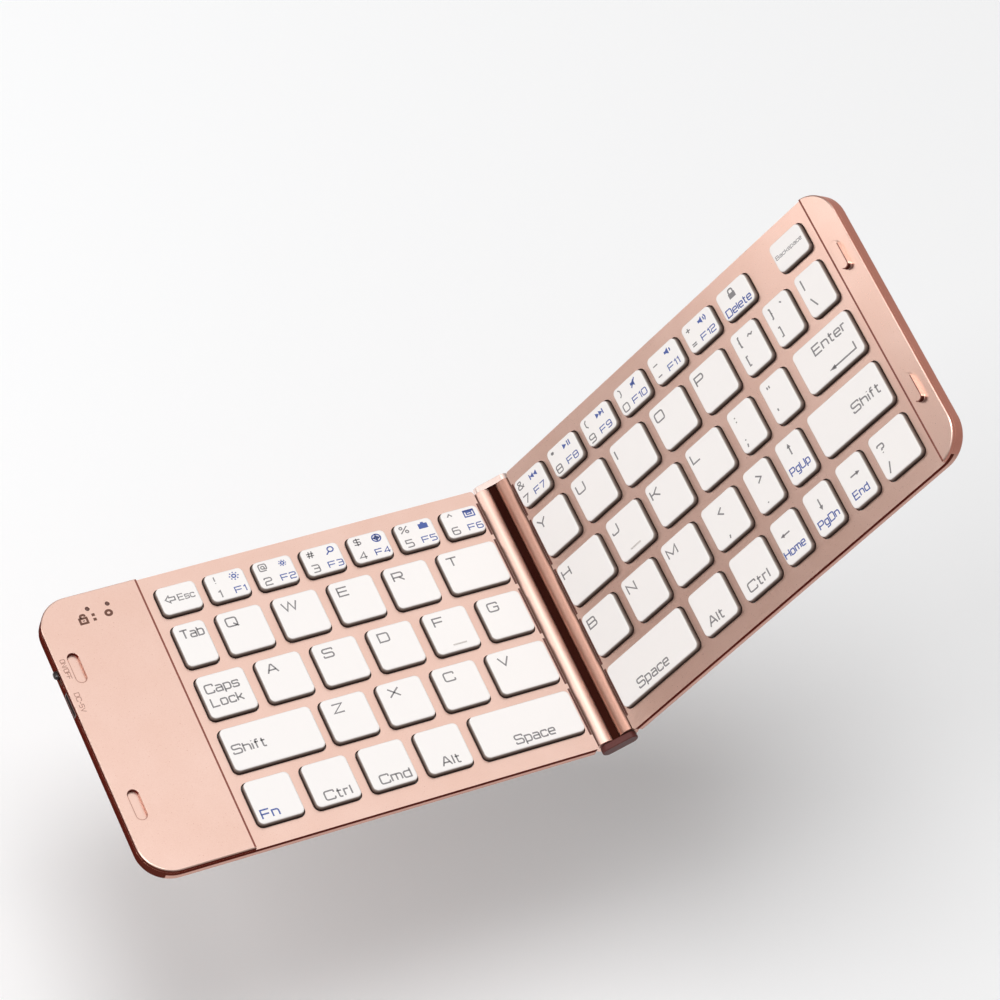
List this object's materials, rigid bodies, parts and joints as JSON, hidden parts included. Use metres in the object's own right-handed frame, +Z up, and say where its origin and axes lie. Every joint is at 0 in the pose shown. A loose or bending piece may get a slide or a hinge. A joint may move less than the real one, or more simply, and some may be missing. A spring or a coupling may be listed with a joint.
{
  "type": "folding keyboard",
  "caption": "Slim two-part folding keyboard with a double-axis hinge, low keys in metal decks, a raised end panel and a side power switch.",
  "frame": {"origin": "centre of the bounding box at its bottom, on the plane that the left half's rubber feet stand on, with the right half folded up as drawn", "axes": "+X from the left half's outer end towards the hinge, +Y from the front edge to the back edge, +Z up from the table"},
  "size_m": [0.2204, 0.0922, 0.1338],
  "materials": {
    "rose_metal": "satin rose-gold anodised",
    "dark_metal": "glossy dark maroon",
    "keycaps": "satin white with grey and blue printing",
    "steel": "plated",
    "black_rubber": "matte",
    "black_plastic": "matte",
    "silicone": "matte",
    "clear_film": "printed film",
    "board": "solder resist",
    "battery_foil": "pouch foil",
    "lens": "smoked"
  },
  "bodies": {
    "left_half": {"left_bottom_case": "rose_metal", "left_key_frame": "rose_metal", "left_end_panel": "rose_metal", "left_support_plate": "steel", "left_membrane": "clear_film", "left_dome_sheet": "silicone", "left_hinge_barrel": "rose_metal", "left_magnets": "steel", "left_feet": "black_rubber", "left_screws": "steel", "circuit_board": "board", "battery": "battery_foil", "usb_socket": "steel", "indicator_lights": "lens", "power_switch_body": "black_plastic"},
    "hinge_link": {"hinge_spine": "dark_metal", "front_hinge_cap": "dark_metal", "back_hinge_cap": "dark_metal", "left_hinge_pins": "steel", "right_hinge_pins": "steel", "hinge_cable": "black_rubber"},
    "right_half": {"right_bottom_case": "rose_metal", "right_key_frame": "rose_metal", "right_end_strip": "rose_metal", "right_support_plate": "steel", "right_membrane": "clear_film", "right_dome_sheet": "silicone", "right_hinge_barrel": "rose_metal", "right_magnets": "steel", "right_feet": "black_rubber", "right_screws": "steel"},
    "power_switch": {"power_switch_knob": "black_plastic"},
    "left_number_keys": {"left_number_keys": "keycaps"},
    "tab_key": {"tab_key": "keycaps"},
    "qwer_keys": {"qwer_keys": "keycaps"},
    "t_key": {"t_key": "keycaps"},
    "caps_lock_key": {"caps_lock_key": "keycaps"},
    "asdfg_keys": {"asdfg_keys": "keycaps"},
    "left_shift_key": {"left_shift_key": "keycaps"},
    "zxc_keys": {"zxc_keys": "keycaps"},
    "v_key": {"v_key": "keycaps"},
    "left_modifier_keys": {"left_modifier_keys": "keycaps"},
    "left_space_key": {"left_space_key": "keycaps"},
    "right_number_keys": {"right_number_keys": "keycaps"},
    "backspace_key": {"backspace_key": "keycaps"},
    "yuiop_keys": {"yuiop_keys": "keycaps"},
    "bracket_keys": {"bracket_keys": "keycaps"},
    "h_key": {"h_key": "keycaps"},
    "jkl_keys": {"jkl_keys": "keycaps"},
    "punctuation_keys": {"punctuation_keys": "keycaps"},
    "enter_key": {"enter_key": "keycaps"},
    "bnm_keys": {"bnm_keys": "keycaps"},
    "period_up_keys": {"period_up_keys": "keycaps"},
    "right_shift_key": {"right_shift_key": "keycaps"},
    "right_space_key": {"right_space_key": "keycaps"},
    "right_modifier_keys": {"right_modifier_keys": "keycaps"},
    "arrow_keys": {"arrow_keys": "keycaps"},
    "slash_key": {"slash_key": "keycaps"}
  },
  "joints": [
    {"name": "left_hinge", "type": "hinge", "parent": "left_half", "child": "hinge_link", "pos_m": [0.03379, 0, 0.0032], "axis": [0, -1, 0], "range_deg": [-30.75, 59.25]},
    {"name": "right_hinge", "type": "hinge", "parent": "hinge_link", "child": "right_half", "pos_m": [0.04032, 0, 0.00709], "axis": [0, -1, 0], "range_deg": [-30.75, 59.25]},
    {"name": "power_switch_slide", "type": "slide", "parent": "left_half", "child": "power_switch", "axis": [0, -1, 0], "range_m": [0, 0.002]},
    {"name": "left_number_keys_press", "type": "slide", "parent": "left_half", "child": "left_number_keys", "axis": [0, 0, -1], "range_m": [0, 0.0013], "stiffness_N_per_m": 1050, "deforming": ["left_dome_sheet"]},
    {"name": "tab_key_press", "type": "slide", "parent": "left_half", "child": "tab_key", "axis": [0, 0, -1], "range_m": [0, 0.0013], "stiffness_N_per_m": 300, "deforming": ["left_dome_sheet"]},
    {"name": "qwer_keys_press", "type": "slide", "parent": "left_half", "child": "qwer_keys", "axis": [0, 0, -1], "range_m": [0, 0.0013], "stiffness_N_per_m": 600, "deforming": ["left_dome_sheet"]},
    {"name": "t_key_press", "type": "slide", "parent": "left_half", "child": "t_key", "axis": [0, 0, -1], "range_m": [0, 0.0013], "stiffness_N_per_m": 300, "deforming": ["left_dome_sheet"]},
    {"name": "caps_lock_key_press", "type": "slide", "parent": "left_half", "child": "caps_lock_key", "axis": [0, 0, -1], "range_m": [0, 0.0013], "stiffness_N_per_m": 300, "deforming": ["left_dome_sheet"]},
    {"name": "asdfg_keys_press", "type": "slide", "parent": "left_half", "child": "asdfg_keys", "axis": [0, 0, -1], "range_m": [0, 0.0013], "stiffness_N_per_m": 750, "deforming": ["left_dome_sheet"]},
    {"name": "left_shift_key_press", "type": "slide", "parent": "left_half", "child": "left_shift_key", "axis": [0, 0, -1], "range_m": [0, 0.0013], "stiffness_N_per_m": 300, "deforming": ["left_dome_sheet"]},
    {"name": "zxc_keys_press", "type": "slide", "parent": "left_half", "child": "zxc_keys", "axis": [0, 0, -1], "range_m": [0, 0.0013], "stiffness_N_per_m": 450, "deforming": ["left_dome_sheet"]},
    {"name": "v_key_press", "type": "slide", "parent": "left_half", "child": "v_key", "axis": [0, 0, -1], "range_m": [0, 0.0013], "stiffness_N_per_m": 300, "deforming": ["left_dome_sheet"]},
    {"name": "left_modifier_keys_press", "type": "slide", "parent": "left_half", "child": "left_modifier_keys", "axis": [0, 0, -1], "range_m": [0, 0.0013], "stiffness_N_per_m": 600, "deforming": ["left_dome_sheet"]},
    {"name": "left_space_key_press", "type": "slide", "parent": "left_half", "child": "left_space_key", "axis": [0, 0, -1], "range_m": [0, 0.0013], "stiffness_N_per_m": 300, "deforming": ["left_dome_sheet"]},
    {"name": "right_number_keys_press", "type": "slide", "parent": "right_half", "child": "right_number_keys", "axis": [0.8788, 0, -0.4772], "range_m": [0, 0.0013], "stiffness_N_per_m": 1050, "deforming": ["right_dome_sheet"]},
    {"name": "backspace_key_press", "type": "slide", "parent": "right_half", "child": "backspace_key", "axis": [0.8788, 0, -0.4772], "range_m": [0, 0.0013], "stiffness_N_per_m": 300, "deforming": ["right_dome_sheet"]},
    {"name": "yuiop_keys_press", "type": "slide", "parent": "right_half", "child": "yuiop_keys", "axis": [0.8788, 0, -0.4772], "range_m": [0, 0.0013], "stiffness_N_per_m": 750, "deforming": ["right_dome_sheet"]},
    {"name": "bracket_keys_press", "type": "slide", "parent": "right_half", "child": "bracket_keys", "axis": [0.8788, 0, -0.4772], "range_m": [0, 0.0013], "stiffness_N_per_m": 450, "deforming": ["right_dome_sheet"]},
    {"name": "h_key_press", "type": "slide", "parent": "right_half", "child": "h_key", "axis": [0.8788, 0, -0.4772], "range_m": [0, 0.0013], "stiffness_N_per_m": 300, "deforming": ["right_dome_sheet"]},
    {"name": "jkl_keys_press", "type": "slide", "parent": "right_half", "child": "jkl_keys", "axis": [0.8788, 0, -0.4772], "range_m": [0, 0.0013], "stiffness_N_per_m": 450, "deforming": ["right_dome_sheet"]},
    {"name": "punctuation_keys_press", "type": "slide", "parent": "right_half", "child": "punctuation_keys", "axis": [0.8788, 0, -0.4772], "range_m": [0, 0.0013], "stiffness_N_per_m": 300, "deforming": ["right_dome_sheet"]},
    {"name": "enter_key_press", "type": "slide", "parent": "right_half", "child": "enter_key", "axis": [0.8788, 0, -0.4772], "range_m": [0, 0.0013], "stiffness_N_per_m": 300, "deforming": ["right_dome_sheet"]},
    {"name": "bnm_keys_press", "type": "slide", "parent": "right_half", "child": "bnm_keys", "axis": [0.8788, 0, -0.4772], "range_m": [0, 0.0013], "stiffness_N_per_m": 600, "deforming": ["right_dome_sheet"]},
    {"name": "period_up_keys_press", "type": "slide", "parent": "right_half", "child": "period_up_keys", "axis": [0.8788, 0, -0.4772], "range_m": [0, 0.0013], "stiffness_N_per_m": 300, "deforming": ["right_dome_sheet"]},
    {"name": "right_shift_key_press", "type": "slide", "parent": "right_half", "child": "right_shift_key", "axis": [0.8788, 0, -0.4772], "range_m": [0, 0.0013], "stiffness_N_per_m": 300, "deforming": ["right_dome_sheet"]},
    {"name": "right_space_key_press", "type": "slide", "parent": "right_half", "child": "right_space_key", "axis": [0.8788, 0, -0.4772], "range_m": [0, 0.0013], "stiffness_N_per_m": 300, "deforming": ["right_dome_sheet"]},
    {"name": "right_modifier_keys_press", "type": "slide", "parent": "right_half", "child": "right_modifier_keys", "axis": [0.8788, 0, -0.4772], "range_m": [0, 0.0013], "stiffness_N_per_m": 300, "deforming": ["right_dome_sheet"]},
    {"name": "arrow_keys_press", "type": "slide", "parent": "right_half", "child": "arrow_keys", "axis": [0.8788, 0, -0.4772], "range_m": [0, 0.0013], "stiffness_N_per_m": 450, "deforming": ["right_dome_sheet"]},
    {"name": "slash_key_press", "type": "slide", "parent": "right_half", "child": "slash_key", "axis": [0.8788, 0, -0.4772], "range_m": [0, 0.0013], "stiffness_N_per_m": 300, "deforming": ["right_dome_sheet"]}
  ]
}
